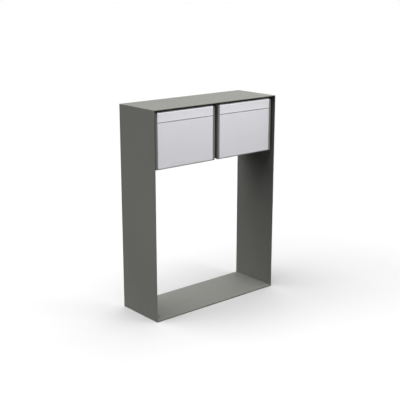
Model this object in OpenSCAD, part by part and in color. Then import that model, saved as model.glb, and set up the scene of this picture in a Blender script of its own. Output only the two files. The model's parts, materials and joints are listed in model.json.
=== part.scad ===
// Cluster mailbox unit: two letterboxes hung side by side in an open portal frame.
// The origin is the middle of the footprint, on the ground.
// +X is to the right seen from the front, -Y is the front and +Z is up.

/* [Portal frame] */
// Overall width of the frame
frame_w = 900; // [880:2:1000]
// Overall depth of the frame
frame_d = 320; // [300:5:400]
// Overall height of the frame
frame_h = 1200; // [900:10:1600]
// Thickness of the side panels and of the top panel
panel_t = 3; // [2:0.5:5]
// Thickness of the base plate
base_t = 6; // [4:0.5:10]
// Distance between the anchor holes across the width
anchor_pitch_x = 800; // [700:10:820]
// Distance between the anchor holes across the depth
anchor_pitch_y = 220; // [180:10:240]
// Diameter of the anchor holes
anchor_hole_d = 12; // [8:0.5:14]

/* [Letterbox bodies] */
// Height of one box body
box_h = 313.5; // [300:0.5:400]
// Clear gap between the two boxes
box_gap = 22; // [18:1:40]
// Clear gap between a box and its side panel
side_gap = 16; // [14:1:30]
// Clear gap between the boxes and the top panel
top_gap = 10.5; // [10.5:0.5:30]
// How far the box fronts lie behind the frame's front edge
front_recess = 17.5; // [5:0.5:30]
// How far the back plates lie inside the frame's rear edge
rear_recess = 17.5; // [5:0.5:30]
// Thickness of the folded body sheet
sheet_t = 1.5; // [1:0.1:2]
// Width of the painted cheek on each side of the front
cheek_w = 12.5; // [10:0.5:16]
// Depth of a cheek from front to back
cheek_d = 14.5; // [13.5:0.5:16]

/* [Letter flap] */
// Height of the flap from its lower edge to the top of its roll
flap_h = 56.3; // [55:0.1:63]
// Thickness of the flap
flap_t = 2; // [1.5:0.1:2.5]
// Radius of the rolled top edge, which turns about the flap rod
roll_r = 10; // [9.5:0.1:10.5]
// Radius of the flap rod
rod_r = 2.5; // [2:0.1:3]
// Width of the letter slot
slot_w = 328; // [300:2:330]
// Height of the letter slot
slot_h = 32; // [30:1:32]

/* [Door] */
// Thickness of the door sheet
door_t = 1.5; // [1:0.1:2]
// Depth of the folded edges of the door
door_return = 12; // [11:0.5:13]
// Gap between the door's ends and the cheeks
door_gap = 1.5; // [1.4:0.1:2]
// Seam between the flap and the door
seam = 3.4; // [2.4:0.1:4]
// Thickness of the threshold under the door
threshold_t = 2; // [1.5:0.5:4]
// Radius of the hinge pins
pin_r = 1.5; // [1.2:0.1:1.6]

/* [Cam lock] */
// Radius of the lock barrel
lock_r = 8; // [7:0.5:9]
// Length of the cam from the lock axis to its tip
cam_l = 32; // [30:1:34]
// Thickness of the cam
cam_t = 2.5; // [2:0.5:3]

/* [Hidden] */
$fn = 48;

// Paint and metal colours
paint = [0.36, 0.36, 0.34];
silver = [0.80, 0.80, 0.82];
steel = [0.66, 0.67, 0.69];
zinc = [0.74, 0.75, 0.76];
rubber = [0.09, 0.09, 0.09];
nylon = [0.12, 0.12, 0.12];

// Clearances
fit = 0.05;
eps = 1;

// Places of one box. Its own x runs from its middle.
box_w = (frame_w - 2 * panel_t - 2 * side_gap - box_gap) / 2;
box_x = (box_w + box_gap) / 2;
half_w = box_w / 2;
front_y = -frame_d / 2 + front_recess;
back_y = frame_d / 2 - rear_recess;
top_z = frame_h - panel_t - top_gap;
lid_z = top_z - sheet_t;
floor_z = top_z - box_h;
wall_x = half_w - sheet_t;
cheek_x = half_w - cheek_w;
cheek_back_y = front_y + cheek_d;
fascia_y = cheek_back_y + 7;
lap_x = wall_x - sheet_t;
lap_l = 16;
flange_w = 12;

// Flap and its rod
roll_clear = 0.5;
pivot_y = front_y + roll_r;
pivot_z = lid_z - roll_clear - roll_r;
front_half = cheek_x - door_gap;
flap_z = pivot_z + roll_r - flap_h;
roll_past = 4.5;
end_cap_t = 2;
cheek_z = floor_z - threshold_t;
cheek_top_z = pivot_z + 6.8;
cheek_corner_r = 13.5;
lid_y = pivot_y + 3;
knuckle_r = 4.8;
spring_wire_r = 0.6;
spring_r = rod_r + 1.1;
spring_pitch = 1.7;
spring_turns = 8;
spring_x = front_half - 19;
spring_tilt = 35;
spring_leg_l = (fascia_y - pivot_y - spring_r - spring_wire_r * cos(spring_tilt)) / sin(spring_tilt) - 0.1;
bush_r = 4.2;
bush_flange_r = 5.8;
rod_end_x = cheek_x + 3.5;
KNUCKLES = [[-front_half, -150], [-50, 50], [130, spring_x - 2], [front_half - 4, front_half]];

// Slot fascia, sill and letter guard
sill_z = flap_z - 2;
sill_lip_h = 8;
sill_lip_y = front_y + 4;
slot_z = sill_z + 8.8;
slot_x = -front_half + 8;
guard_depth = 60;
guard_drop = 12;

// Door, hinge and keeper
washer_t = 2;
washer_r = 4;
door_z0 = floor_z + washer_t;
door_z1 = flap_z - seam;
hinge_x = -front_half + 8;
hinge_y = front_y + 4.5;
hinge_notch = 16;
lug_w = 18;
threshold_back_y = cheek_back_y + 24;
block_h = 12;
block_z = door_z0 + door_t;

// Lock
lock_x = front_half - 33;
lock_z = slot_z + slot_h / 2 - 2;
plug_r = 5.5;
lock_end_y = fascia_y + 17;
cam_w = 14;
cam_y = lock_end_y + 0.5;
keeper_w = 30;
keeper_y = cam_y + cam_t + 0.8;
keeper_t = 2;
keeper_z = lock_z - cam_l - 7;

// Fasteners
m6_r = 3;
m6_hole_r = 3.2;
m6_head_r = 5;
m6_head_h = 3.3;
m6_nut_h = 5;
bolt_y = 85;
bolt_z = floor_z + 32;
hanger_x = 120;
rail_w = 30;
rail_t = 2;
standoff_r = 8;
rivet_r = 1.6;
rivet_head_r = 3.2;
RIVET_Z = [for (i = [0 : 3]) floor_z + 30 + i * (box_h - 60) / 3];

// ---- helpers ----

// A slab between two corners, each range given as [low, high]
module slab(x, y, z) {
    translate([x[0], y[0], z[0]])
        cube([x[1] - x[0], y[1] - y[0], z[1] - z[0]]);
}

// A (y, z) outline swept along x
module along_x(x0, x1) {
    translate([x0, 0, 0])
        rotate([90, 0, 90])
            linear_extrude(x1 - x0)
                children();
}

module rod_x(r, x0, x1) {
    translate([x0, 0, 0])
        rotate([0, 90, 0])
            cylinder(h = x1 - x0, r = r);
}

module rod_y(r, y0, y1) {
    translate([0, y0, 0])
        rotate([-90, 0, 0])
            cylinder(h = y1 - y0, r = r);
}

module rod_z(r, z0, z1) {
    translate([0, 0, z0])
        cylinder(h = z1 - z0, r = r);
}

// Carries a box's own pieces to the left (-1) or right (1) place
module in_box(side) {
    translate([side * box_x, 0, 0])
        children();
}

module each_box() {
    for (side = [-1, 1])
        in_box(side)
            children();
}

// The right-hand piece as it is, or its mirror image on the left
module on_side(side) {
    mirror([side < 0 ? 1 : 0, 0, 0])
        children();
}

// Cap screw along +Z: the head lies below z = 0 and the shank above
module cap_screw(shank) {
    difference() {
        union() {
            rod_z(m6_head_r, -m6_head_h, 0);
            rod_z(m6_r, -0.2, shank);
        }
        translate([0, 0, -m6_head_h - eps])
            cylinder(h = 2 + eps, r = 2.9, $fn = 6);
    }
}

module hex_nut() {
    difference() {
        cylinder(h = m6_nut_h, r = 5.77, $fn = 6);
        rod_z(m6_r + fit, -eps, m6_nut_h + eps);
    }
}

// ---- portal frame ----

module side_panel(side) {
    x = side * (frame_w - panel_t) / 2;
    color(paint)
        slab([x - panel_t / 2, x + panel_t / 2], [-frame_d / 2, frame_d / 2], [0, frame_h - panel_t]);
}

module left_side_panel() side_panel(-1);
module right_side_panel() side_panel(1);

module top_panel() {
    color(paint)
        slab([-frame_w / 2, frame_w / 2], [-frame_d / 2, frame_d / 2], [frame_h - panel_t, frame_h]);
}

module base_plate() {
    inner = frame_w / 2 - panel_t;
    color(paint)
        difference() {
            slab([-inner, inner], [-frame_d / 2, frame_d / 2], [0, base_t]);
            for (sx = [-1, 1], sy = [-1, 1])
                translate([sx * anchor_pitch_x / 2, sy * anchor_pitch_y / 2, 0])
                    rod_z(anchor_hole_d / 2, -eps, base_t + eps);
        }
}

// Channel under the top panel that the boxes hang from
module hanger_rail(side) {
    inner = frame_w / 2 - panel_t;
    y0 = side * bolt_y - rail_w / 2;
    y1 = side * bolt_y + rail_w / 2;
    color(paint)
        difference() {
            slab([-inner, inner], [y0, y1], [top_z, frame_h - panel_t]);
            slab([-inner - eps, inner + eps], [y0 + rail_t, y1 - rail_t], [top_z + rail_t, frame_h]);
            each_box()
                for (sx = [-1, 1])
                    translate([sx * hanger_x, side * bolt_y, 0])
                        rod_z(m6_hole_r, top_z - eps, top_z + rail_t + eps);
        }
}

module front_hanger_rail() hanger_rail(-1);
module rear_hanger_rail() hanger_rail(1);

module hanger_screws() {
    color(steel)
        each_box()
            for (sx = [-1, 1], sy = [-1, 1])
                translate([sx * hanger_x, sy * bolt_y, lid_z])
                    cap_screw(sheet_t + rail_t + m6_nut_h + 1);
}

module m6_nuts() {
    color(steel) {
        each_box()
            for (sx = [-1, 1], sy = [-1, 1])
                translate([sx * hanger_x, sy * bolt_y, top_z + rail_t])
                    hex_nut();
        for (sy = [-1, 1])
            translate([box_gap / 2 + sheet_t, sy * bolt_y, bolt_z])
                rotate([0, 90, 0])
                    hex_nut();
    }
}

// Tapped bosses between each outer box wall and the side panel
module side_standoffs() {
    color(steel)
        for (sx = [-1, 1], sy = [-1, 1])
            on_side(sx)
                translate([0, sy * bolt_y, bolt_z])
                    difference() {
                        rod_x(standoff_r, box_gap / 2 + box_w, frame_w / 2 - panel_t);
                        rod_x(m6_r + fit, box_gap / 2, frame_w / 2 - panel_t - 1);
                    }
}

module side_screws() {
    color(steel)
        for (sx = [-1, 1], sy = [-1, 1])
            on_side(sx)
                translate([box_x + wall_x, sy * bolt_y, bolt_z])
                    rotate([0, 90, 0])
                        cap_screw(sheet_t + 12);
}

module centre_spacers() {
    color(steel)
        for (sy = [-1, 1])
            translate([0, sy * bolt_y, bolt_z])
                difference() {
                    rod_x(standoff_r, -box_gap / 2, box_gap / 2);
                    rod_x(m6_hole_r, -box_gap, box_gap);
                }
}

module centre_bolts() {
    color(steel)
        for (sy = [-1, 1])
            translate([-box_gap / 2 - sheet_t, sy * bolt_y, bolt_z])
                rotate([0, 90, 0])
                    cap_screw(box_gap + 2 * sheet_t + m6_nut_h + 1);
}

// ---- letterbox body ----

// Places of the rivets that hold the back plate
module at_rivets() {
    for (sx = [-1, 1], z = RIVET_Z)
        translate([sx * (wall_x - flange_w / 2), 0, z])
            children();
}

// Folded bottom and sides with narrow flanges at the top and the rear
module body_wrap() {
    color(paint)
        difference() {
            slab([-half_w, half_w], [cheek_back_y, back_y - sheet_t], [floor_z, lid_z]);
            slab([-wall_x, wall_x], [cheek_back_y - eps, back_y - 2 * sheet_t],
                 [floor_z + sheet_t, lid_z - sheet_t]);
            slab([-wall_x + flange_w, wall_x - flange_w], [cheek_back_y - eps, back_y],
                 [floor_z + sheet_t + flange_w, lid_z + eps]);
            slab([-wall_x, wall_x], [cheek_back_y - eps, fascia_y + 8], [floor_z + sheet_t, lid_z + eps]);
            at_rivets()
                rod_y(rivet_r + fit, back_y - 3 * sheet_t, back_y);
            for (sy = [-1, 1])
                translate([0, sy * bolt_y, bolt_z])
                    rod_x(m6_hole_r, -half_w - eps, half_w + eps);
            at_threshold_rivets()
                rod_z(rivet_r + fit, floor_z - eps, floor_z + sheet_t + eps);
        }
}

module body_top() {
    color(paint)
        difference() {
            slab([-half_w, half_w], [lid_y, back_y - sheet_t], [lid_z, top_z]);
            for (sx = [-1, 1], sy = [-1, 1])
                translate([sx * hanger_x, sy * bolt_y, 0])
                    rod_z(m6_hole_r, lid_z - eps, top_z + eps);
        }
}

module body_back() {
    color(paint)
        difference() {
            slab([-half_w, half_w], [back_y - sheet_t, back_y], [floor_z, top_z]);
            at_rivets()
                rod_y(rivet_r + fit, back_y - 2 * sheet_t, back_y + eps);
        }
}

module body_rivets() {
    color(steel)
        each_box() {
            at_rivets() {
                rod_y(rivet_head_r, back_y, back_y + 1);
                rod_y(rivet_r, back_y - 2 * sheet_t - 1.5, back_y + 0.2);
            }
            at_threshold_rivets() {
                rod_z(rivet_head_r, floor_z - threshold_t - 1, floor_z - threshold_t);
                rod_z(rivet_r, floor_z - threshold_t - 0.2, floor_z + sheet_t + 1);
            }
        }
}

// Side outline of a cheek. Its large top front corner leaves the end of the flap's roll in view.
module cheek_outline(inset) {
    r = cheek_corner_r;
    depth = cheek_d + (inset > 0 ? eps : 0);
    intersection() {
        translate([front_y + r, cheek_top_z - r])
            circle(r = r - inset);
        translate([front_y, cheek_top_z - r])
            square(r);
    }
    translate([front_y + inset, cheek_z + inset])
        square([depth - inset, cheek_top_z - r - cheek_z - inset]);
    translate([front_y + r, cheek_top_z - r - eps])
        square([depth - r, r - inset + eps]);
}

// Channel-shaped cheek at the right end of the front, with its lap for the body wall
module cheek() {
    difference() {
        along_x(cheek_x, half_w)
            cheek_outline(0);
        along_x(cheek_x + sheet_t, half_w - sheet_t)
            cheek_outline(sheet_t);
        translate([0, pivot_y, pivot_z])
            rod_x(bush_r + fit, cheek_x - eps, cheek_x + sheet_t + eps);
    }
    slab([lap_x, wall_x], [cheek_back_y - 1, cheek_back_y + lap_l],
         [floor_z + 2 * sheet_t, cheek_top_z]);
}

module latch_cheek() {
    color(paint)
        cheek();
}

module hinge_cheek() {
    color(paint)
        mirror([1, 0, 0])
            cheek();
}

// Plate behind the flap, with the letter slot, the lock hole, the sill and its lip
module slot_fascia() {
    sill_z1 = sill_z + sheet_t;
    color(paint)
        difference() {
            union() {
                slab([-lap_x, lap_x], [fascia_y, fascia_y + sheet_t], [sill_z, lid_z]);
                slab([-front_half, front_half], [sill_lip_y + sheet_t, fascia_y + sheet_t],
                     [sill_z, sill_z1]);
                slab([hinge_x + lug_w, front_half], [sill_lip_y, sill_lip_y + sheet_t],
                     [sill_z, sill_z + sill_lip_h]);
                slab([-front_half, hinge_x + lug_w / 2], [front_y + 1.8, fascia_y],
                     [sill_z, sill_z1]);
            }
            slab([slot_x, slot_x + slot_w], [fascia_y - eps, fascia_y + sheet_t + eps],
                 [slot_z, slot_z + slot_h]);
            translate([lock_x, 0, lock_z])
                rod_y(lock_r + fit, fascia_y - eps, fascia_y + sheet_t + eps);
            translate([hinge_x, hinge_y, 0])
                rod_z(pin_r + fit, sill_z - eps, sill_z1 + eps);
        }
}

// Shelf behind the slot that keeps hands out
module letter_guard() {
    y0 = fascia_y + sheet_t;
    x1 = slot_x + slot_w;
    color(paint) {
        slab([slot_x, x1], [y0, y0 + sheet_t], [sill_z, sill_z + 5]);
        slab([slot_x, x1], [y0, y0 + guard_depth], [sill_z - sheet_t, sill_z]);
        slab([slot_x, x1], [y0 + guard_depth - sheet_t, y0 + guard_depth], [sill_z - guard_drop, sill_z]);
    }
}

// Strip that the latch side of the door closes against
module door_stop() {
    color(paint)
        slab([front_half - 10, lap_x], [cheek_back_y, cheek_back_y + sheet_t], [floor_z + 4, door_z1 - 2]);
}

module door_seal() {
    color(rubber)
        slab([front_half - 5, front_half + 1], [front_y + door_return + 0.3, cheek_back_y],
             [floor_z + 10, door_z1 - 8]);
}

module at_threshold_rivets() {
    for (sx = [-1, 0, 1])
        translate([sx * 150, cheek_back_y + 16, 0])
            children();
}

// Strip riveted under the body floor. It closes the front below the door and carries the lower
// hinge pin.
module threshold() {
    color(paint)
        difference() {
            slab([-cheek_x, cheek_x], [front_y, threshold_back_y], [floor_z - threshold_t, floor_z]);
            translate([hinge_x, hinge_y, 0])
                rod_z(pin_r + fit, floor_z - threshold_t - eps, floor_z + eps);
            at_threshold_rivets()
                rod_z(rivet_r + fit, floor_z - threshold_t - eps, floor_z + eps);
        }
}

module door_hinge_washers() {
    color(nylon)
        each_box()
            translate([hinge_x, hinge_y, 0])
                difference() {
                    rod_z(washer_r, floor_z, floor_z + washer_t - 0.1);
                    rod_z(pin_r + fit, floor_z - eps, floor_z + washer_t + eps);
                }
}

// ---- letter flap ----

module flap_rod() {
    color(steel)
        translate([0, pivot_y, pivot_z])
            rod_x(rod_r, -rod_end_x, rod_end_x);
}

module flap_rod_bushes() {
    color(nylon)
        each_box()
            for (side = [-1, 1])
                on_side(side)
                    translate([0, pivot_y, pivot_z])
                        difference() {
                            union() {
                                rod_x(bush_r, cheek_x - 0.2, rod_end_x);
                                rod_x(bush_flange_r, front_half + 0.4, cheek_x);
                            }
                            rod_x(rod_r + fit, front_half, rod_end_x + eps);
                        }
}

// Torsion spring round the rod: its coils, a leg on the flap and a leg on the fascia
module flap_spring() {
    color(steel)
        translate([spring_x, pivot_y, pivot_z]) {
            for (turn = [0 : spring_turns - 1])
                translate([turn * spring_pitch, 0, 0])
                    difference() {
                        rod_x(spring_r + spring_wire_r, -spring_wire_r, spring_wire_r);
                        rod_x(spring_r - spring_wire_r, -eps, eps);
                    }
            translate([0, -spring_r, 0])
                rod_z(spring_wire_r, -14, 0);
            translate([(spring_turns - 1) * spring_pitch, spring_r, 0])
                rotate([spring_tilt - 180, 0, 0])
                    rod_z(spring_wire_r, 0, spring_leg_l);
        }
}

module flap_outline() {
    translate([-roll_r, roll_r - flap_h])
        square([flap_t, flap_h - roll_r]);
    difference() {
        intersection() {
            circle(r = roll_r, $fn = 96);
            translate([-roll_r, 0])
                square([roll_r + roll_past, roll_r]);
        }
        circle(r = roll_r - flap_t, $fn = 96);
    }
}

module knuckle_outline() {
    difference() {
        union() {
            circle(r = knuckle_r);
            rotate(135)
                translate([0, -1])
                    square([roll_r - flap_t / 2, 2]);
        }
        circle(r = rod_r + fit);
    }
}

// End of the roll: a plate that closes it, with a hole for the rod
module end_cap_outline() {
    difference() {
        intersection() {
            circle(r = roll_r, $fn = 96);
            translate([-roll_r, -knuckle_r])
                square([2 * roll_r, roll_r + knuckle_r]);
        }
        circle(r = rod_r + fit);
    }
}

// Extruded flap with a rolled top, knuckles on the rod and a closed end at each side
module flap() {
    color(silver)
        translate([0, pivot_y, pivot_z]) {
            along_x(-front_half, front_half)
                flap_outline();
            for (k = KNUCKLES)
                along_x(k[0], k[1])
                    knuckle_outline();
            for (x = [-front_half, front_half - end_cap_t])
                along_x(x, x + end_cap_t)
                    end_cap_outline();
        }
}

module flap_bumpers() {
    color(rubber)
        for (side = [-1, 1])
            translate([side * 120, 0, sill_z + 5.2])
                rod_y(2.4, front_y + flap_t + 0.3, sill_lip_y);
}

// ---- door ----

// Folded tray with relieved corners on the hinge side
module door_panel() {
    y1 = front_y + door_return;
    color(silver)
        difference() {
            slab([-front_half, front_half], [front_y, y1], [door_z0, door_z1]);
            slab([-front_half + door_t, front_half - door_t], [front_y + door_t, y1 + eps],
                 [door_z0 + door_t, door_z1 - door_t]);
            for (z = [[door_z0 + door_t, door_z0 + door_t + hinge_notch],
                      [door_z1 - door_t - hinge_notch, door_z1 - door_t]])
                slab([-front_half - eps, -front_half + door_t + eps], [front_y + door_t, y1 + eps], z);
            translate([hinge_x, hinge_y, 0]) {
                rod_z(pin_r + fit, door_z0 - eps, door_z0 + 2 * door_t);
                rod_z(pin_r + fit, door_z1 - 2 * door_t, door_z1 + eps);
            }
        }
}

// Bracket inside the door whose upturned lip the cam drops in front of
module door_keeper() {
    x = [lock_x - keeper_w / 2, lock_x + keeper_w / 2];
    y0 = front_y + door_t;
    color(steel) {
        slab(x, [y0, y0 + keeper_t], [keeper_z - 16, keeper_z + keeper_t]);
        slab(x, [y0, keeper_y + keeper_t], [keeper_z, keeper_z + keeper_t]);
        slab(x, [keeper_y, keeper_y + keeper_t], [keeper_z, sill_z - 4]);
    }
}

module hinge_block(z0) {
    difference() {
        slab([hinge_x - 6, hinge_x + 12], [front_y + door_t, hinge_y + 6], [z0, z0 + block_h]);
        translate([hinge_x, hinge_y, 0])
            rod_z(pin_r + fit, z0 - eps, z0 + block_h + eps);
    }
}

module hinge_blocks() {
    color(zinc) {
        hinge_block(block_z);
        hinge_block(door_z1 - door_t - block_h);
    }
}

module hinge_pins() {
    color(steel)
        translate([hinge_x, hinge_y, 0]) {
            rod_z(pin_r, floor_z - threshold_t, block_z + block_h);
            rod_z(pin_r, door_z1 - door_t - block_h, sill_z + sheet_t);
        }
}

// ---- cam lock ----

module lock_housing() {
    color(zinc)
        translate([lock_x, 0, lock_z])
            difference() {
                union() {
                    rod_y(lock_r + 2, fascia_y - 2.5, fascia_y);
                    rod_y(lock_r, fascia_y - 0.5, lock_end_y);
                }
                rod_y(plug_r + fit, fascia_y - 2.5 - eps, lock_end_y + eps);
            }
}

module lock_nuts() {
    color(zinc)
        each_box()
            translate([lock_x, fascia_y + sheet_t, lock_z])
                rotate([-90, 0, 0])
                    difference() {
                        cylinder(h = 5, r = 12.7, $fn = 6);
                        rod_z(lock_r + fit, -eps, 5 + eps);
                    }
}

module lock_plug() {
    color(steel)
        translate([lock_x, 0, lock_z])
            difference() {
                rod_y(plug_r, fascia_y - 2.2, cam_y);
                slab([-0.6, 0.6], [fascia_y - 2.2 - eps, fascia_y + 4], [-3.2, 3.2]);
                rod_y(2 + fit, cam_y - 9, cam_y + eps);
            }
}

// Cam at rest: turned to the side, clear of the keeper
module lock_cam() {
    color(steel)
        translate([lock_x, 0, lock_z])
            difference() {
                union() {
                    rod_y(cam_w / 2, cam_y, cam_y + cam_t);
                    slab([0, cam_l - cam_w / 2], [cam_y, cam_y + cam_t], [-cam_w / 2, cam_w / 2]);
                    translate([cam_l - cam_w / 2, 0, 0])
                        rod_y(cam_w / 2, cam_y, cam_y + cam_t);
                }
                rod_y(2 + fit, cam_y - eps, cam_y + cam_t + eps);
            }
}

module cam_screw() {
    color(steel)
        translate([lock_x, cam_y + cam_t, lock_z])
            difference() {
                union() {
                    rod_y(4, 0, 2.5);
                    rod_y(2, -cam_t - 8, 0.2);
                }
                slab([-0.5, 0.5], [1.5, 2.5 + eps], [-5, 5]);
            }
}

// ---- the same pieces in the left and the right box ----

module left_body_wrap() in_box(-1) body_wrap();
module left_body_top() in_box(-1) body_top();
module left_body_back() in_box(-1) body_back();
module left_hinge_cheek() in_box(-1) hinge_cheek();
module left_latch_cheek() in_box(-1) latch_cheek();
module left_slot_fascia() in_box(-1) slot_fascia();
module left_letter_guard() in_box(-1) letter_guard();
module left_door_stop() in_box(-1) door_stop();
module left_door_seal() in_box(-1) door_seal();
module left_threshold() in_box(-1) threshold();
module left_flap_rod() in_box(-1) flap_rod();
module left_flap_spring() in_box(-1) flap_spring();
module left_flap_bumpers() in_box(-1) flap_bumpers();
module left_lock_housing() in_box(-1) lock_housing();
module left_flap() in_box(-1) flap();
module left_door_panel() in_box(-1) door_panel();
module left_door_keeper() in_box(-1) door_keeper();
module left_hinge_blocks() in_box(-1) hinge_blocks();
module left_hinge_pins() in_box(-1) hinge_pins();
module left_lock_plug() in_box(-1) lock_plug();
module left_lock_cam() in_box(-1) lock_cam();
module left_cam_screw() in_box(-1) cam_screw();

module right_body_wrap() in_box(1) body_wrap();
module right_body_top() in_box(1) body_top();
module right_body_back() in_box(1) body_back();
module right_hinge_cheek() in_box(1) hinge_cheek();
module right_latch_cheek() in_box(1) latch_cheek();
module right_slot_fascia() in_box(1) slot_fascia();
module right_letter_guard() in_box(1) letter_guard();
module right_door_stop() in_box(1) door_stop();
module right_door_seal() in_box(1) door_seal();
module right_threshold() in_box(1) threshold();
module right_flap_rod() in_box(1) flap_rod();
module right_flap_spring() in_box(1) flap_spring();
module right_flap_bumpers() in_box(1) flap_bumpers();
module right_lock_housing() in_box(1) lock_housing();
module right_flap() in_box(1) flap();
module right_door_panel() in_box(1) door_panel();
module right_door_keeper() in_box(1) door_keeper();
module right_hinge_blocks() in_box(1) hinge_blocks();
module right_hinge_pins() in_box(1) hinge_pins();
module right_lock_plug() in_box(1) lock_plug();
module right_lock_cam() in_box(1) lock_cam();
module right_cam_screw() in_box(1) cam_screw();

left_side_panel();
right_side_panel();
top_panel();
base_plate();
front_hanger_rail();
rear_hanger_rail();
hanger_screws();
m6_nuts();
side_standoffs();
side_screws();
centre_spacers();
centre_bolts();
body_rivets();
flap_rod_bushes();
lock_nuts();
door_hinge_washers();
left_body_wrap();
left_body_top();
left_body_back();
left_hinge_cheek();
left_latch_cheek();
left_slot_fascia();
left_letter_guard();
left_door_stop();
left_door_seal();
left_threshold();
left_flap_rod();
left_flap_spring();
left_flap_bumpers();
left_lock_housing();
left_flap();
left_door_panel();
left_door_keeper();
left_hinge_blocks();
left_hinge_pins();
left_lock_plug();
left_lock_cam();
left_cam_screw();
right_body_wrap();
right_body_top();
right_body_back();
right_hinge_cheek();
right_latch_cheek();
right_slot_fascia();
right_letter_guard();
right_door_stop();
right_door_seal();
right_threshold();
right_flap_rod();
right_flap_spring();
right_flap_bumpers();
right_lock_housing();
right_flap();
right_door_panel();
right_door_keeper();
right_hinge_blocks();
right_hinge_pins();
right_lock_plug();
right_lock_cam();
right_cam_screw();
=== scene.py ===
"""Looks of the cluster mailbox unit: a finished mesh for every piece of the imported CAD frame."""

import json
import math

import bmesh
import bpy
from mathutils import Matrix, Vector


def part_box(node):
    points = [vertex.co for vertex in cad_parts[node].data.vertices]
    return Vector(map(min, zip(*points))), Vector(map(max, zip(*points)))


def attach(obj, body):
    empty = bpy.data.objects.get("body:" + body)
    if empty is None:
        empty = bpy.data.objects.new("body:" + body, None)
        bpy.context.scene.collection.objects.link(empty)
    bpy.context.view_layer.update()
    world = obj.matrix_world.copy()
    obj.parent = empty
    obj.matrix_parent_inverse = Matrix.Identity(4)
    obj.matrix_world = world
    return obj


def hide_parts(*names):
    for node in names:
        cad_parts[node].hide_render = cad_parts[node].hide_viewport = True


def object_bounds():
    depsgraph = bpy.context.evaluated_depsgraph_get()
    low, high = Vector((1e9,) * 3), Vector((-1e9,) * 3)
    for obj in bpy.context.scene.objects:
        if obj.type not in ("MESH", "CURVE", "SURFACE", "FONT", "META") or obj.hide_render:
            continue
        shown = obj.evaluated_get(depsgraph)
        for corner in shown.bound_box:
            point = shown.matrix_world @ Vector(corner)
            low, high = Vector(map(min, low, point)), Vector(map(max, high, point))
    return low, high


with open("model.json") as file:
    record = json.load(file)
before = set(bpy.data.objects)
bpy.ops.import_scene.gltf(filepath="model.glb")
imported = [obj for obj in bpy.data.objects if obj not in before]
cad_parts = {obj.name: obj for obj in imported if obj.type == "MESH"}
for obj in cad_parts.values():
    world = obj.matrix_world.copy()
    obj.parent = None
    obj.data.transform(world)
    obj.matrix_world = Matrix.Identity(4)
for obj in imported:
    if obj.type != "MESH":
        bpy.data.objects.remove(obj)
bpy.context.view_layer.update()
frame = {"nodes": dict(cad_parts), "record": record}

# All lengths are in metres. Radius of the floor:
STAGE_R = 60
# Sheets, bends and broken edges of the object:
BODY_SHEET = 0.0015
BRACKET_SHEET = 0.002
FLAP_SHEET = 0.002
BEND_R = 0.0012
DOOR_BEND = 0.0014
PANEL_EDGE = 0.0005
FINE_EDGE = 0.00025
# Fits, the flap's bushes and the fasteners:
RUNNING_FIT = 0.00005
BUSH_R = 0.0042
BUSH_BORE = 0.00255
M6_SHANK_R = 0.003
M6_HEAD_R = 0.005
M6_HEAD_H = 0.0033
M6_NUT_R = 0.00577
M6_NUT_H = 0.005
M6_BORE = 0.00305
RIVET_HEAD_H = 0.001
SPACER_BORE = 0.0032
LOCK_HOLE_R = 0.00805
LOCK_NUT_R = 0.0127
# How far a cutter runs past what it cuts:
PAST = 0.01
SIDES = ("left", "right")
# For each axis: the places of the other two in a point, and its own.
AXES = {"x": (1, 2, 0), "y": (0, 2, 1), "z": (0, 1, 2)}


# ---------------------------------------------------------------- mesh helpers


def to_object(name, bm):
    """A bmesh as a new object in the scene."""
    bmesh.ops.recalc_face_normals(bm, faces=bm.faces)
    mesh = bpy.data.meshes.new(name)
    bm.to_mesh(mesh)
    bm.free()
    ob = bpy.data.objects.new(name, mesh)
    bpy.context.scene.collection.objects.link(ob)
    return ob


def arc(centre, radius, start, end, steps):
    """Points along an arc, with both ends, angles in degrees."""
    out = []
    for i in range(steps + 1):
        a = math.radians(start + (end - start) * i / steps)
        out.append((centre[0] + radius * math.cos(a), centre[1] + radius * math.sin(a)))
    return out


def rounded(points, radius, steps=4):
    """A closed outline with each corner turned into an arc of that radius."""
    out = []
    count = len(points)
    for i in range(count):
        before = Vector(points[i - 1])
        here = Vector(points[i])
        after = Vector(points[(i + 1) % count])
        out += fillet(before, here, after, radius, steps)
    return out


def fillet(before, here, after, radius, steps):
    """The points that round the corner at here."""
    to_before = (before - here).normalized()
    to_after = (after - here).normalized()
    half = to_before.angle(to_after) / 2
    if radius <= 0 or half > math.radians(89.5):
        return [tuple(here)]
    back = min(radius / math.tan(half), (before - here).length * 0.49, (after - here).length * 0.49)
    real_radius = back * math.tan(half)
    centre = here + (to_before + to_after).normalized() * (real_radius / math.sin(half))
    first = here + to_before * back - centre
    last = here + to_after * back - centre
    sweep = first.angle_signed(last)
    out = []
    for i in range(steps + 1):
        spoke = first.copy()
        spoke.rotate(Matrix.Rotation(-sweep * i / steps, 2))
        out.append(tuple(centre + spoke))
    return out


def folded(path, thickness, bend=BEND_R, steps=4):
    """The closed outline of a folded sheet whose middle runs along path, a list of corners."""
    middle_r = bend + thickness / 2
    line = [Vector(path[0])]
    for i in range(1, len(path) - 1):
        corner = fillet(Vector(path[i - 1]), Vector(path[i]), Vector(path[i + 1]), middle_r, steps)
        line += [Vector(p) for p in corner]
    line.append(Vector(path[-1]))
    left = []
    right = []
    for i, point in enumerate(line):
        ahead = line[min(i + 1, len(line) - 1)] - line[max(i - 1, 0)]
        if 0 < i < len(line) - 1:
            ahead = (line[i + 1] - point).normalized() + (point - line[i - 1]).normalized()
        normal = Vector((-ahead.y, ahead.x)).normalized()
        left.append(tuple(point + normal * thickness / 2))
        right.append(tuple(point - normal * thickness / 2))
    return left + right[::-1]


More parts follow.
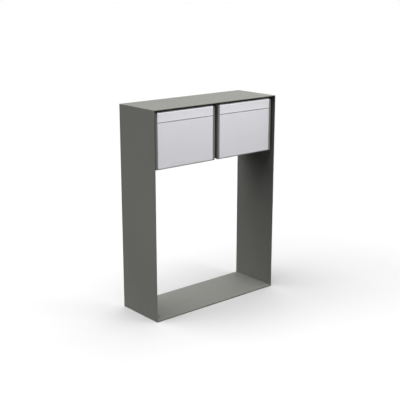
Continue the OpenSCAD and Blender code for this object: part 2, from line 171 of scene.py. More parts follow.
def prism(outline, axis, low, high):
    """A bmesh: an outline in the other two axes, swept along axis from low to high."""
    first, second, along = AXES[axis]
    bm = bmesh.new()
    rings = []
    for place in (low, high):
        ring = []
        for a, b in outline:
            co = [0.0, 0.0, 0.0]
            co[first] = a
            co[second] = b
            co[along] = place
            ring.append(bm.verts.new(co))
        rings.append(ring)
    count = len(outline)
    for i in range(count):
        j = (i + 1) % count
        bm.faces.new((rings[0][i], rings[0][j], rings[1][j], rings[1][i]))
    bm.faces.new(rings[0])
    bm.faces.new(rings[1][::-1])
    return bm


def slab_outline(low, high, axis):
    """The rectangle of a block between two corners, seen along axis."""
    first, second, _ = AXES[axis]
    return [(low[first], low[second]), (high[first], low[second]),
            (high[first], high[second]), (low[first], high[second])]


def slab(low, high, corner=0.0, axis="z"):
    """A block between two corners; its edges along axis are rounded by corner."""
    outline = slab_outline(low, high, axis)
    along = AXES[axis][2]
    if corner > 0:
        outline = rounded(outline, corner)
    return prism(outline, axis, low[along], high[along])


def turned(profile, axis, centre, steps=32, closed=False):
    """A bmesh turned on a lathe: profile is (place along axis, radius), centre the other two places."""
    first, second, along = AXES[axis]
    bm = bmesh.new()
    rings = []
    for place, radius in profile:
        ring = []
        for k in range(1 if radius <= 0 else steps):
            a = 2 * math.pi * k / steps
            co = [0.0, 0.0, 0.0]
            co[first] = centre[0] + radius * math.cos(a)
            co[second] = centre[1] + radius * math.sin(a)
            co[along] = place
            ring.append(bm.verts.new(co))
        rings.append(ring)
    pairs = list(zip(rings, rings[1:]))
    if closed:
        pairs.append((rings[-1], rings[0]))
    for one, two in pairs:
        for k in range(steps):
            j = (k + 1) % steps
            corners = [one[k % len(one)], one[j % len(one)], two[j % len(two)], two[k % len(two)]]
            unique = list(dict.fromkeys(corners))
            if len(unique) > 2:
                bm.faces.new(unique)
    return bm


def drill(low, high, radius, axis, centre, steps=32, past=PAST):
    """A cutter for a round hole along axis, from low to high and a little past both."""
    profile = [(low - past, 0), (low - past, radius), (high + past, radius), (high + past, 0)]
    return turned(profile, axis, centre, steps)


def centre_of(low, high, axes="xyz"):
    """The middle of a box, as its places along the named axes."""
    return tuple((getattr(low, axis) + getattr(high, axis)) / 2 for axis in axes)


def merged(*parts):
    """Several bmeshes as one."""
    out = bmesh.new()
    for part in parts:
        mesh = bpy.data.meshes.new("part")
        part.to_mesh(mesh)
        part.free()
        out.from_mesh(mesh)
        bpy.data.meshes.remove(mesh)
    return out


def soften(bm, width, segments=2, angle=35):
    """Bevels every edge sharper than angle."""
    bmesh.ops.recalc_face_normals(bm, faces=bm.faces)
    limit = math.radians(angle)
    edges = [e for e in bm.edges if len(e.link_faces) == 2 and e.calc_face_angle() > limit]
    bmesh.ops.bevel(bm, geom=edges, offset=width, offset_type="OFFSET", segments=segments,
                    profile=0.5, affect="EDGES", clamp_overlap=True)
    return bm


def combine(bm, cutters, operation="DIFFERENCE"):
    """bm with the cutter bmeshes taken away from it, or joined to it."""
    base = to_object("base", bm)
    tools = [to_object("tool", cutter) for cutter in cutters]
    for tool in tools:
        modifier = base.modifiers.new("cut", "BOOLEAN")
        modifier.operation = operation
        modifier.object = tool
        modifier.solver = "EXACT"
    bpy.context.view_layer.update()
    evaluated = base.evaluated_get(bpy.context.evaluated_depsgraph_get())
    out = bmesh.new()
    out.from_mesh(evaluated.to_mesh())
    evaluated.to_mesh_clear()
    for ob in [base] + tools:
        mesh = ob.data
        bpy.data.objects.remove(ob)
        bpy.data.meshes.remove(mesh)
    bmesh.ops.remove_doubles(out, verts=out.verts, dist=1e-6)
    bmesh.ops.dissolve_limit(out, angle_limit=math.radians(0.5), verts=out.verts, edges=out.edges)
    return out


def moved(bm, offset):
    """The bmesh, shifted by offset."""
    bmesh.ops.translate(bm, verts=bm.verts, vec=offset)
    return bm


# ---------------------------------------------------------------- materials


class Nodes:
    """A material's node tree, with short ways to add the nodes that are used here."""

    def __init__(self, name):
        self.material = bpy.data.materials.new(name)
        self.material.use_nodes = True
        self.tree = self.material.node_tree
        self.shader = self.tree.nodes["Principled BSDF"]
        self.place = self.tree.nodes.new("ShaderNodeTexCoord").outputs["Object"]

    def link(self, source, target):
        """Joins an output to an input."""
        self.tree.links.new(source, target)

    def noise(self, scale, detail=2.0, stretch=(1, 1, 1)):
        """Noise over the object's own coordinates; stretch is how dense it is along each axis."""
        mapping = self.tree.nodes.new("ShaderNodeMapping")
        mapping.inputs["Scale"].default_value = stretch
        self.link(self.place, mapping.inputs["Vector"])
        node = self.tree.nodes.new("ShaderNodeTexNoise")
        node.inputs["Scale"].default_value = scale
        node.inputs["Detail"].default_value = detail
        self.link(mapping.outputs["Vector"], node.inputs["Vector"])
        return node.outputs["Fac"]

    def spread(self, value, low, high, start=0.3, end=0.7):
        """Maps value, from start to end, to the range from low to high."""
        node = self.tree.nodes.new("ShaderNodeMapRange")
        node.inputs["From Min"].default_value = start
        node.inputs["From Max"].default_value = end
        node.inputs["To Min"].default_value = low
        node.inputs["To Max"].default_value = high
        self.link(value, node.inputs["Value"])
        return node.outputs["Result"]

    def mix(self, factor, one, two):
        """A colour between one and two; each may be a colour or a socket."""
        node = self.tree.nodes.new("ShaderNodeMix")
        node.data_type = "RGBA"
        for socket, value in (("Factor", factor), ("A", one), ("B", two)):
            target = [s for s in node.inputs if s.name == socket and s.enabled][0]
            if isinstance(value, bpy.types.NodeSocket):
                self.link(value, target)
            else:
                target.default_value = value
        return [s for s in node.outputs if s.enabled][0]

    def product(self, one, two):
        """One value times the other."""
        node = self.tree.nodes.new("ShaderNodeMath")
        node.operation = "MULTIPLY"
        self.link(one, node.inputs[0])
        self.link(two, node.inputs[1])
        return node.outputs[0]

    def height(self):
        """How high above the ground a point is, in metres."""
        node = self.tree.nodes.new("ShaderNodeSeparateXYZ")
        self.link(self.place, node.inputs["Vector"])
        return node.outputs["Z"]

    def bump(self, heights, depths):
        """Stacks bumps: heights is a list of values from 0 to 1, depths how deep each is."""
        normal = None
        for value, depth in zip(heights, depths):
            node = self.tree.nodes.new("ShaderNodeBump")
            node.inputs["Strength"].default_value = 1.0
            node.inputs["Distance"].default_value = depth
            self.link(value, node.inputs["Height"])
            if normal is not None:
                self.link(normal, node.inputs["Normal"])
            normal = node.outputs["Normal"]
        self.link(normal, self.shader.inputs["Normal"])


def shade(colour, factor):
    """A colour made darker or lighter by factor, with its alpha."""
    return tuple(c * factor for c in colour) + (1.0,)


def powder_coat(name, colour, dust):
    """Fine-textured powder coat: slow tone changes, speckle, orange peel, and dust near the ground."""
    nodes = Nodes(name)
    slow = nodes.spread(nodes.noise(2.2, 3), 0, 1)
    base = nodes.mix(slow, shade(colour, 0.96), shade(colour, 1.04))
    speckle = nodes.spread(nodes.noise(1400, 2), 0, 0.35, 0.45, 0.75)
    base = nodes.mix(speckle, base, shade(colour, 1.25))
    if dust:
        low_down = nodes.spread(nodes.height(), dust, 0, 0.0, 0.16)
        cloud = nodes.spread(nodes.noise(14, 5), 0.35, 1)
        base = nodes.mix(nodes.product(low_down, cloud), base, DUST)
    nodes.link(base, nodes.shader.inputs["Base Color"])
    nodes.link(nodes.spread(nodes.noise(60, 3), 0.52, 0.62), nodes.shader.inputs["Roughness"])
    nodes.shader.inputs["Specular IOR Level"].default_value = 0.12
    nodes.bump([nodes.noise(900, 1), nodes.noise(220, 1)], [0.00006, 0.00012])
    return nodes.material


def anodised(name, colour, painted_shade=0.0, low=0.0, high=1.0):
    """Satin anodised aluminium with a fine grain along X, and painted shade, darker towards the bottom,
    that fades out from low up to high.
    """
    nodes = Nodes(name)
    grain = nodes.noise(1, 3, stretch=(14, 900, 1500))
    soft = nodes.noise(3.0, 2, stretch=(1, 1, 2))
    base = nodes.mix(nodes.spread(grain, 0, 1), shade(colour, 0.965), shade(colour, 1.02))
    base = nodes.mix(nodes.spread(soft, 0, 0.35), base, shade(colour, 0.97))
    if painted_shade:
        # Painted shade: the colour is darkened below high, most at low and under it.
        base = nodes.mix(nodes.spread(nodes.height(), painted_shade, 0, low, high), base, shade(colour, 0.5))
    nodes.link(base, nodes.shader.inputs["Base Color"])
    nodes.shader.inputs["Metallic"].default_value = 0.8
    nodes.link(nodes.spread(grain, 0.50, 0.60), nodes.shader.inputs["Roughness"])
    nodes.bump([grain], [0.00003])
    return nodes.material


def bright_metal(name, colour, rough, grain_scale=500):
    """Plated or turned metal: blotchy sheen, faint turning marks and handling marks."""
    nodes = Nodes(name)
    blotch = nodes.noise(90, 4)
    base = nodes.mix(nodes.spread(blotch, 0, 1), shade(colour, 0.86), shade(colour, 1.05))
    nodes.link(base, nodes.shader.inputs["Base Color"])
    nodes.shader.inputs["Metallic"].default_value = 1.0
    roughness = nodes.spread(nodes.noise(grain_scale, 3), rough * 0.8, rough * 1.3)
    nodes.link(roughness, nodes.shader.inputs["Roughness"])
    nodes.bump([nodes.noise(grain_scale * 3, 2)], [0.00002])
    return nodes.material


def dull(name, colour, rough, bump_scale, sheen=0.0):
    """Rubber or nylon: matt, faintly mottled, with a moulded grain."""
    nodes = Nodes(name)
    base = nodes.mix(nodes.spread(nodes.noise(120, 3), 0, 1), shade(colour, 0.85), shade(colour, 1.15))
    nodes.link(base, nodes.shader.inputs["Base Color"])
    roughness = nodes.spread(nodes.noise(200, 2), rough * 0.9, min(rough * 1.1, 1))
    nodes.link(roughness, nodes.shader.inputs["Roughness"])
    nodes.shader.inputs["Sheen Weight"].default_value = sheen
    nodes.bump([nodes.noise(bump_scale, 2)], [0.00004])
    return nodes.material


DUST = (0.34, 0.33, 0.30, 1)
PAINT = (0.108, 0.1105, 0.1005)
# The boxes' paint is the frame's paint made lighter: painted light that lifts the shaded cheeks and the
# gaps between the boxes.
LIT_BODY_PAINT = (0.189, 0.192, 0.178)
SILVER = (0.614, 0.614, 0.640)
# The flaps' silver is the doors' silver made lighter: a painted highlight for the light the flaps catch.
LIT_FLAP_SILVER = (0.645, 0.645, 0.672)
# Painted shade on the doors, darker towards the bottom: it fades out from a fifth of their height up to
# their top edge.
DOOR_LOW, DOOR_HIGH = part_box("left_door_panel")
SHADE_FROM = DOOR_LOW.z + (DOOR_HIGH.z - DOOR_LOW.z) * 0.2
MATERIALS = {
    "frame_paint": powder_coat("frame_paint", PAINT, dust=0.04),
    "body_paint": powder_coat("body_paint", LIT_BODY_PAINT, dust=0.0),
    "flap_aluminium": anodised("flap_aluminium", LIT_FLAP_SILVER),
    "door_aluminium": anodised("door_aluminium", SILVER, 0.115, SHADE_FROM, DOOR_HIGH.z),
    "bright_steel": bright_metal("bright_steel", (0.56, 0.57, 0.58), 0.32),
    "lock_chrome": bright_metal("lock_chrome", (0.66, 0.66, 0.66), 0.18, 900),
    "cast_zinc": bright_metal("cast_zinc", (0.42, 0.42, 0.43), 0.5, 300),
    "rubber": dull("rubber", (0.018, 0.018, 0.018), 0.8, 700, sheen=0.1),
    "nylon": dull("nylon", (0.03, 0.03, 0.03), 0.5, 400),
}
SLOTS = {p["node"]: p["material_slot"] for p in frame["record"]["subparts"]}
BODIES = frame["record"]["behaviour"]["bodies"]
BODY_OF = {node: body for body, members in BODIES.items() for node in members}


def piece(node, bm, material=None):
    """Finishes a piece that stands for a CAD node: shading, material, slot and body."""
    ob = to_object(node + "_visual", bm)
    mesh = ob.data
    for polygon in mesh.polygons:
        polygon.use_smooth = True
    mesh.set_sharp_from_angle(angle=math.radians(38))
    weighted = ob.modifiers.new("even_normals", "WEIGHTED_NORMAL")
    weighted.keep_sharp = True
    mesh.materials.append(MATERIALS[material or SLOTS[node]])
    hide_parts(node)
    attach(ob, BODY_OF[node])


# ---------------------------------------------------------------- camera, light and floor


def add_camera():
    """The viewing direction and lens of the reference view, aimed just above the unit's middle."""
    azimuth = math.radians(-40.24)
    elevation = math.radians(15.05)
    distance = 4.913
    low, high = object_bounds()
    aim = Vector((0, 0, (low[2] + high[2]) / 2 + 0.0034))
    back = Vector((math.sin(azimuth) * math.cos(elevation),
                   -math.cos(azimuth) * math.cos(elevation),
                   math.sin(elevation)))
    data = bpy.data.cameras.new("camera")
    data.lens = 74.75
    data.sensor_width = 36
    data.clip_end = 500
    camera = bpy.data.objects.new("camera", data)
    camera.location = aim + back * distance
    camera.rotation_euler = back.to_track_quat("Z", "Y").to_euler()
    bpy.context.scene.collection.objects.link(camera)
    bpy.context.scene.camera = camera


def add_sun(name, azimuth, elevation, strength, spread):
    """A soft sun that shines from azimuth and elevation, all in degrees."""
    data = bpy.data.lights.new(name, "SUN")
    data.energy = strength
    data.angle = math.radians(spread)
    light = bpy.data.objects.new(name, data)
    a = math.radians(azimuth)
    e = math.radians(elevation)
    back = Vector((math.sin(a) * math.cos(e), -math.cos(a) * math.cos(e), math.sin(e)))
    light.rotation_euler = back.to_track_quat("Z", "Y").to_euler()
    bpy.context.scene.collection.objects.link(light)


def add_softbox(name, place, power, size):
    """A round lamp at place, aimed at the middle of the boxes."""
    low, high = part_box("left_door_panel")
    aim = Vector((0, 0, (low.z + high.z) / 2 + 0.1))
    data = bpy.data.lights.new(name, "AREA")
    data.energy = power
    data.shape = "DISK"
    data.size = size
    light = bpy.data.objects.new(name, data)
    light.location = place
    light.rotation_euler = (Vector(place) - aim).to_track_quat("Z", "Y").to_euler()
    light.visible_camera = False
    bpy.context.scene.collection.objects.link(light)


def grey(value):
    """A neutral colour."""
    return shade((1, 1, 1), value)


def add_stage():
    """A wide floor under a soft sky that is brightest overhead, soft suns and one lamp."""
    add_floor(STAGE_R)
    add_backdrop(STAGE_R - 1)
    add_sky(zenith=0.5, power=2.0, below=0.02)
    add_sun("overhead", 0, 90, 4.1, 60)
    add_sun("key_right_rear", 120, 50, 1.6, 60)
    add_sun("key_left_rear", -130, 45, 2.4, 60)
    add_sun("fill_left", -90, 50, 1.3, 60)
    add_sun("fill_left_front", -40, 8, 0.25, 50)
    add_sun("fill_right_front", 45, 30, 0.9, 60)
    add_softbox("softbox_right_front", (1.1, -2.0, 2.1), 21, 1.0)
    scene = bpy.context.scene
    scene.view_settings.view_transform = "Standard"
    scene.view_settings.look = "None"


def add_floor(radius):
    """A wide pale floor with a painted shadow: a touch darker around a place on the right."""
    bm = bmesh.new()
    bmesh.ops.create_circle(bm, cap_ends=True, radius=radius, segments=96)
    floor = to_object("floor", bm)
    nodes = Nodes("floor_white")
    wide = nodes.mix(nodes.spread(nodes.noise(0.8, 2), 0, 1), grey(0.338), grey(0.344))
    away = nodes.tree.nodes.new("ShaderNodeVectorMath")
    away.operation = "DISTANCE"
    away.inputs[1].default_value = (0.9, -0.3, 0)
    nodes.link(nodes.place, away.inputs[0])
    near_to_far = nodes.spread(away.outputs["Value"], 0, 1, 0.4, 1.3)
    # Painted shadow: the floor is darker near that place and fades to the far floor.
    nodes.link(nodes.mix(near_to_far, grey(0.311), wide), nodes.shader.inputs["Base Color"])
    nodes.shader.inputs["Roughness"].default_value = 1.0
    nodes.shader.inputs["Specular IOR Level"].default_value = 0.0
    floor.data.materials.append(nodes.material)
    floor.visible_diffuse = False


def add_backdrop(radius):
    """A pale dome that only the camera sees, so that low views end in white."""
    bm = bmesh.new()
    bmesh.ops.create_uvsphere(bm, u_segments=64, v_segments=32, radius=radius)
    dome = to_object("backdrop", bm)
    nodes = Nodes("backdrop_white")
    upwards = nodes.spread(nodes.height(), 0, 1, 0, radius)
    nodes.link(nodes.mix(upwards, grey(1), (0.9, 0.92, 0.95, 1)), nodes.shader.inputs["Emission Color"])
    nodes.shader.inputs["Emission Strength"].default_value = 1.0
    nodes.shader.inputs["Base Color"].default_value = grey(0)
    nodes.shader.inputs["Specular IOR Level"].default_value = 0.0
    dome.data.materials.append(nodes.material)
    dome.visible_diffuse = False
    dome.visible_glossy = False
    dome.visible_transmission = False
    dome.visible_shadow = False


def add_sky(zenith, power, below):
    """A white world whose strength grows with the sine of the elevation."""
    world = bpy.data.worlds.new("studio")
    world.use_nodes = True
    tree = world.node_tree
    place = tree.nodes.new("ShaderNodeTexCoord")
    split = tree.nodes.new("ShaderNodeSeparateXYZ")
    tree.links.new(place.outputs["Generated"], split.inputs["Vector"])
    last = split.outputs["Z"]
    for operation, value in (("MAXIMUM", 0.0), ("POWER", power), ("MULTIPLY", zenith), ("ADD", below)):
        node = tree.nodes.new("ShaderNodeMath")
        node.operation = operation
        node.inputs[1].default_value = value
        tree.links.new(last, node.inputs[0])
        last = node.outputs["Value"]
    background = tree.nodes["Background"]
    background.inputs["Color"].default_value = (1, 1, 1, 1)
    tree.links.new(last, background.inputs["Strength"])
    bpy.context.scene.world = world


# ---------------------------------------------------------------- portal frame


def frame_pieces():
    """The two side panels, the top panel, and the base plate with its anchor holes."""
    for node in ("left_side_panel", "right_side_panel", "top_panel"):
        low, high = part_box(node)
        piece(node, soften(slab(low, high), PANEL_EDGE, 3))
    low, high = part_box("base_plate")
    anchors = [m for m in frame["record"]["mounts"] if m["name"] == "anchor_holes"][0]["dims"]
    radius = anchors["hole_r_mm"] / 1000
    holes = []
    for sx in (-0.5, 0.5):
        for sy in (-0.5, 0.5):
            centre = (sx * anchors["spacing_x_mm"] / 1000, sy * anchors["spacing_y_mm"] / 1000)
            holes.append(drill(low.z, high.z, radius, "z", centre, 48))
    piece("base_plate", soften(combine(slab(low, high), holes), PANEL_EDGE, 3))


def hanger_rails():
    """Folded channels, open to the top."""
    t = BRACKET_SHEET
    for node in ("front_hanger_rail", "rear_hanger_rail"):
        low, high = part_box(node)
        path = [(low.y + t / 2, high.z), (low.y + t / 2, low.z + t / 2),
                (high.y - t / 2, low.z + t / 2), (high.y - t / 2, high.z)]
        piece(node, soften(prism(folded(path, t), "x", low.x, high.x), FINE_EDGE))


# ---------------------------------------------------------------- fasteners


def turn_to(bm, direction):
    """Turns a piece made along +Z, around the origin, to direction."""
    rotation = Vector((0, 0, 1)).rotation_difference(Vector(direction)).to_matrix()
    bmesh.ops.rotate(bm, verts=bm.verts, cent=(0, 0, 0), matrix=rotation)
    return bm


def hexagon(radius):
    """The corners of a hexagon."""
    return arc((0, 0), radius, 0, 300, 5)


def cap_screw(length):
    """M6 socket head screw: the head below the origin, the shank up."""
    edge = 0.0004
    tip = 0.0006
    profile = [(-M6_HEAD_H, 0), (-M6_HEAD_H, M6_HEAD_R - edge), (-M6_HEAD_H + edge, M6_HEAD_R),
               (-edge, M6_HEAD_R), (0, M6_HEAD_R - edge), (0, M6_SHANK_R),
               (length - tip, M6_SHANK_R), (length, M6_SHANK_R - tip), (length, 0)]
    socket_r = 0.0029
    socket_depth = 0.002
    socket = prism(hexagon(socket_r), "z", -M6_HEAD_H - 0.001, -M6_HEAD_H + socket_depth)
    return combine(turned(profile, "z", (0, 0), 32), [socket])


def hex_nut(radius, bore, height):
    """Nut on the origin, its corners rounded off by a cone at each face."""
    face_r = radius * 0.9
    widest = radius * 1.02
    slope = radius * 0.12
    profile = [(0, 0), (0, face_r), (slope, widest),
               (height - slope, widest), (height, face_r), (height, 0)]
    cones = turned(profile, "z", (0, 0), 48)
    nut = combine(prism(hexagon(radius), "z", 0, height), [cones], "INTERSECT")
    return combine(nut, [drill(0, height, bore, "z", (0, 0), past=0.001)])


def blind_rivet(shank):
    """Domed head above the origin with its mandrel hole, and the shank below."""
    head_r = 0.0032
    hole_r = 0.0008
    shank_r = 0.0016
    dome = arc((0, 0), 1, 90, 12, 6)
    profile = [(-shank, 0), (-shank, shank_r), (0, shank_r), (0, head_r)]
    profile += [(RIVET_HEAD_H * y, hole_r + (head_r - hole_r) * x) for x, y in dome[::-1]]
    profile += [(RIVET_HEAD_H * 0.35, hole_r), (RIVET_HEAD_H * 0.35, 0)]
    return turned(profile, "z", (0, 0), 24)


def solid_boxes(node):
    """The low and high corners of each separate solid of a CAD node."""
    bm = bmesh.new()
    bm.from_mesh(frame["nodes"][node].data)
    bmesh.ops.remove_doubles(bm, verts=bm.verts, dist=1e-6)
    seen = set()
    boxes = []
    for start in bm.verts:
        if start in seen:
            continue
        group = [start]
        seen.add(start)
        for v in group:
            for e in v.link_edges:
                other = e.other_vert(v)
                if other not in seen:
                    seen.add(other)
                    group.append(other)
        low = Vector([min(v.co[i] for v in group) for i in range(3)])
        high = Vector([max(v.co[i] for v in group) for i in range(3)])
        boxes.append((low, high))
    bm.free()
    return boxes


def hanger_screws():
    """Screws that hang the boxes: heads down inside the box, shanks up through the rail."""
    parts = []
    for low, high in solid_boxes("hanger_screws"):
        x, y = centre_of(low, high, "xy")
        screw = cap_screw(high.z - low.z - M6_HEAD_H)
        parts.append(moved(screw, (x, y, low.z + M6_HEAD_H)))
    piece("hanger_screws", merged(*parts))


def m6_nuts():
    """Upright nuts on the hanger screws, and nuts along X on the centre bolts."""
    parts = []
    for low, high in solid_boxes("m6_nuts"):
        x, y, z = centre_of(low, high)
        nut = hex_nut(M6_NUT_R, M6_BORE, M6_NUT_H)
        if high.z - low.z < high.x - low.x:
            parts.append(moved(nut, (x, y, low.z)))
        else:
            parts.append(moved(turn_to(nut, (1, 0, 0)), (low.x, y, z)))
    piece("m6_nuts", merged(*parts))


def cross_screws():
    """Screws along X: those to the side panels point outwards, those between the boxes to +X."""
    for node in ("side_screws", "centre_bolts"):
        parts = []
        for low, high in solid_boxes(node):
            _, y, z = centre_of(low, high)
            way = -1 if node == "side_screws" and low.x < 0 else 1
            start = low.x + M6_HEAD_H if way > 0 else high.x - M6_HEAD_H
            screw = turn_to(cap_screw(high.x - low.x - M6_HEAD_H), (way, 0, 0))
            parts.append(moved(screw, (start, y, z)))
        piece(node, merged(*parts))


def spacers():
    """Turned tubes beside the side panels and between the boxes."""
    chamfer = 0.0005
    for node, bore in (("side_standoffs", M6_BORE), ("centre_spacers", SPACER_BORE)):
        parts = []
        for low, high in solid_boxes(node):
            r = (high.z - low.z) / 2
            profile = [(low.x, bore), (low.x, r - chamfer), (low.x + chamfer, r),
                       (high.x - chamfer, r), (high.x, r - chamfer), (high.x, bore)]
            parts.append(turned(profile, "x", centre_of(low, high, "yz"), 40, closed=True))
        piece(node, merged(*parts))


def body_rivets():
    """Rivets with their heads to the rear in the back plates, and heads down in the thresholds."""
    parts = []
    for low, high in solid_boxes("body_rivets"):
        x, y, z = centre_of(low, high)
        if y > 0:
            rivet = turn_to(blind_rivet(high.y - low.y - RIVET_HEAD_H), (0, 1, 0))
            parts.append(moved(rivet, (x, high.y - RIVET_HEAD_H, z)))
        else:
            rivet = turn_to(blind_rivet(high.z - low.z - RIVET_HEAD_H), (0, 0, -1))
            parts.append(moved(rivet, (x, y, low.z + RIVET_HEAD_H)))
    piece("body_rivets", merged(*parts))


# ---------------------------------------------------------------- letterbox body


def body_wrap(side):
    """Folded floor and walls with narrow flanges at the top and the rear."""
    node = side + "_body_wrap"
    low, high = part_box(node)
    t = BODY_SHEET
    flange = 0.012
    mid = t / 2
    path = [(low.x + flange, high.z - mid), (low.x + mid, high.z - mid), (low.x + mid, low.z + mid),
            (high.x - mid, low.z + mid), (high.x - mid, high.z - mid), (high.x - flange, high.z - mid)]
    shell = prism(folded(path, t), "y", low.y, high.y)
    # The top flanges start this far behind the fascia.
    behind = 0.0065
    flange_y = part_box(side + "_slot_fascia")[1].y + behind
    front_cut = slab((low.x + t, low.y - PAST, low.z + t), (high.x - t, flange_y, high.z + PAST))
    rear = [slab((low.x + t, high.y - t, low.z + t), (low.x + t + flange, high.y, high.z - t)),
            slab((high.x - t - flange, high.y - t, low.z + t), (high.x - t, high.y, high.z - t)),
            slab((low.x + t, high.y - t, low.z + t), (high.x - t, high.y, low.z + t + flange))]
    shell = combine(combine(shell, [front_cut]), rear, "UNION")
    piece(node, soften(shell, FINE_EDGE, 2, 50))


def plate_piece(node, edge=FINE_EDGE, corner=0.0, axis="z"):
    """A flat plate that fills its CAD box, its corners along axis rounded."""
    low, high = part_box(node)
    piece(node, soften(slab(low, high, corner, axis), edge))


def cheek(side, which, way):
    """Channel-shaped cheek, closed at its ends, with its rounded top front corner and the bush hole."""
    node = "%s_%s_cheek" % (side, which)
    low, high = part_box(node)
    _, rod_y, rod_z, _ = rod_axis(side)
    t = BODY_SHEET
    depth = 0.0145
    corner_r = 0.0135
    back = low.y + depth

    def outline(inset, extra):
        """The cheek seen from the side, shrunk by inset and drawn out to the rear by extra."""
        points = [(back + extra, low.z + inset), (back + extra, high.z - inset)]
        points += arc((low.y + corner_r, high.z - corner_r), corner_r - inset, 90, 180, 10)
        points.append((low.y + inset, low.z + inset))
        return points

    outer = soften(prism(outline(0, 0), "x", low.x, high.x), BEND_R, 3)
    hollow = prism(outline(t, PAST), "x", low.x + t, high.x - t)
    inner_x = high.x if way < 0 else low.x
    bush_hole = drill(inner_x, inner_x, BUSH_R + RUNNING_FIT, "x", (rod_y, rod_z), past=0.003)
    shell = combine(outer, [hollow, bush_hole])
    # The lap runs back along the inside of the body's wall.
    wall_x = low.x + t if way < 0 else high.x - t
    lap_x = wall_x - way * t
    lap = slab((min(wall_x, lap_x), back - 0.001, low.z + 0.005),
               (max(wall_x, lap_x), high.y, high.z - FINE_EDGE))
    piece(node, merged(shell, soften(lap, FINE_EDGE)))


def slot_fascia(side):
    """Plate with the letter slot and the lock hole, the sill with its hinge lug, and the sill's lip."""
    node = side + "_slot_fascia"
    low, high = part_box(node)
    t = BODY_SHEET
    guard_low, guard_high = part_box(side + "_letter_guard")
    door_low, door_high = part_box(side + "_door_panel")
    plate_y = high.y - t
    plate = slab((low.x, plate_y, low.z), (high.x, high.y, high.z))
    slot_z = low.z + 0.0088
    slot_h = 0.032
    slot = slab((guard_low.x, plate_y - PAST, slot_z), (guard_high.x, high.y + PAST, slot_z + slot_h),
                0.003, "y")
    lock_hole = drill(plate_y, high.y, LOCK_HOLE_R, "y", lock_axis(side), 40)
    plate = combine(plate, [slot, lock_hole])

    lip_h = 0.008
    lip_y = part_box(side + "_flap_bumpers")[1].y
    # Measured from the hinge pin, the lug ends first and the lip starts after it.
    pin_x = pin_axis(side)[0]
    lug_x = pin_x + 0.009
    lip_x = pin_x + 0.018
    path = [(lip_y + t / 2, low.z + lip_h), (lip_y + t / 2, low.z + t / 2),
            (plate_y + t / 2, low.z + t / 2)]
    lipped = prism(folded(path, t), "x", lip_x, door_high.x)
    plain = slab((door_low.x, lip_y + t, low.z), (lip_x, plate_y + t / 2, low.z + t))
    lug = slab((door_low.x, low.y, low.z), (lug_x, plate_y, low.z + t), 0.0015)
    sill = combine(combine(plain, [lug], "UNION"), [pin_hole(side, low.z, low.z + t)])
    piece(node, merged(soften(plate, FINE_EDGE), soften(lipped, FINE_EDGE), soften(sill, FINE_EDGE)))


def letter_guard(side):
    """Stepped strip behind the slot: an upright, a shelf and a drop that keeps hands from the letters."""
    node = side + "_letter_guard"
    low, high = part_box(node)
    t = BODY_SHEET
    upright_h = 0.005
    shelf_z = high.z - upright_h - t / 2
    path = [(low.y + t / 2, high.z), (low.y + t / 2, shelf_z),
            (high.y - t / 2, shelf_z), (high.y - t / 2, low.z)]
    piece(node, soften(prism(folded(path, t), "x", low.x, high.x), FINE_EDGE))


def pin_axis(side):
    """The place (x, y) of the door's hinge pins."""
    low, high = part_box(side + "_hinge_pins")
    return centre_of(low, high, "xy")


def pin_bore(side):
    """The radius of a hole in which a hinge pin turns."""
    low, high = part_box(side + "_hinge_pins")
    return (high.x - low.x) / 2 + RUNNING_FIT


def pin_hole(side, low, high):
    """A cutter for the hole of a hinge pin through a sheet from low to high."""
    return drill(low, high, pin_bore(side), "z", pin_axis(side), 24)


def door_seal(side):
    """Rubber strip with a rounded face towards the door."""
    node = side + "_door_seal"
    low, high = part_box(node)
    crown = (high.y - low.y) * 0.6
    steps = 8
    points = [(low.x, high.y), (low.x, low.y + crown)]
    for i in range(1, steps):
        rise = math.sin(math.pi * i / steps)
        points.append((low.x + (high.x - low.x) * i / steps, low.y + crown * (1 - rise)))
    points += [(high.x, low.y + crown), (high.x, high.y)]
    piece(node, soften(prism(points, "z", low.z, high.z), FINE_EDGE, 2, 50))


def threshold(side):
    """Strip under the door with the hole of the lower hinge pin."""
    node = side + "_threshold"
    low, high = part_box(node)
    piece(node, soften(combine(slab(low, high), [pin_hole(side, low.z, high.z)]), FINE_EDGE))


# ---------------------------------------------------------------- flap, its rod and its spring


def rod_profile(low, high, radius, edge=0.0004):
    """The lathe profile of a rod with chamfered ends."""
    return [(low, 0), (low, radius - edge), (low + edge, radius),
            (high - edge, radius), (high, radius - edge), (high, 0)]


def rod_axis(side):
    """(x range, y, z, radius) of the flap rod."""
    low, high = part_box(side + "_flap_rod")
    _, y, z = centre_of(low, high)
    return (low.x, high.x), y, z, (high.z - low.z) / 2


def flap_rod(side):
    """Plain rod that the flap's knuckles turn on."""
    (x0, x1), y, z, r = rod_axis(side)
    piece(side + "_flap_rod", turned(rod_profile(x0, x1, r), "x", (y, z), 32))


def flap_rod_bushes():
    """Flanged nylon bushes: the flange faces the flap."""
    flange_r = 0.0058
    flange_t = 0.0011
    flange_edge = 0.0003
    end_edge = 0.0004
    parts = []
    for low, high in solid_boxes("flap_rod_bushes"):
        x, y, z = centre_of(low, high)
        flap_low, flap_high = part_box("left_flap" if low.x < 0 else "right_flap")
        out = 1 if x > (flap_low.x + flap_high.x) / 2 else -1
        inner = low.x if out > 0 else high.x
        outer = high.x if out > 0 else low.x
        profile = [(inner, BUSH_BORE), (inner, flange_r - flange_edge),
                   (inner + out * flange_edge, flange_r), (inner + out * flange_t, flange_r),
                   (inner + out * flange_t, BUSH_R), (outer - out * end_edge, BUSH_R),
                   (outer, BUSH_R - end_edge), (outer, BUSH_BORE)]
        parts.append(turned(profile, "x", (y, z), 32, closed=True))
    piece("flap_rod_bushes", merged(*parts))


